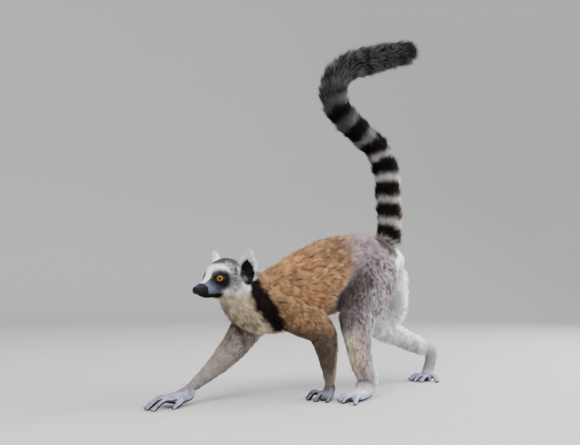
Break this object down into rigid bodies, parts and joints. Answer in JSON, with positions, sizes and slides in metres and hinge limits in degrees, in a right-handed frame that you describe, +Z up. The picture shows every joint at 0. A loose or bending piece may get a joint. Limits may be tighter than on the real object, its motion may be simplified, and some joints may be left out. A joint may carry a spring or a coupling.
{
  "type": "ring-tailed lemur",
  "caption": "Life-size still model of a ring-tailed lemur walking on all fours, its ringed tail held up and curled back at the tip.",
  "frame": {"origin": "middle of the bottom of the bounding box, on the floor that the hands and feet stand on", "axes": "the lemur faces -X, its left side is towards -Y and +Z is up; the tail makes +Z the longest extent, and +Y, across the body, is the shortest"},
  "size_m": [0.5976, 0.1694, 0.6858],
  "materials": {
    "belly_coat": "soft matt fur",
    "chest_coat": "soft matt fur",
    "ear_coat": "soft matt fur",
    "eye": "wet and clear, with an amber iris",
    "foot_skin_and_coat": "soft matt fur",
    "forearm_coat": "soft matt fur",
    "hand_skin_and_coat": "soft matt fur",
    "head_coat": "soft matt fur",
    "hips_coat": "soft matt fur",
    "neck_coat": "soft matt fur",
    "shank_coat": "soft matt fur",
    "tail_coat": "soft matt fur",
    "thigh_coat": "soft matt fur",
    "upper_arm_coat": "soft matt fur"
  },
  "bodies": {
    "root": {"belly": "belly_coat", "chest": "chest_coat", "ear_left": "ear_coat", "ear_right": "ear_coat", "eye_left": "eye", "eye_right": "eye", "foot_left": "foot_skin_and_coat", "foot_right": "foot_skin_and_coat", "forearm_left": "forearm_coat", "forearm_right": "forearm_coat", "hand_left": "hand_skin_and_coat", "hand_right": "hand_skin_and_coat", "head": "head_coat", "hips": "hips_coat", "neck": "neck_coat", "shank_left": "shank_coat", "shank_right": "shank_coat", "tail_1": "tail_coat", "tail_2": "tail_coat", "tail_3": "tail_coat", "tail_4": "tail_coat", "tail_5": "tail_coat", "tail_6": "tail_coat", "tail_7": "tail_coat", "tail_8": "tail_coat", "thigh_left": "thigh_coat", "thigh_right": "thigh_coat", "upper_arm_left": "upper_arm_coat", "upper_arm_right": "upper_arm_coat"}
  },
  "joints": []
}
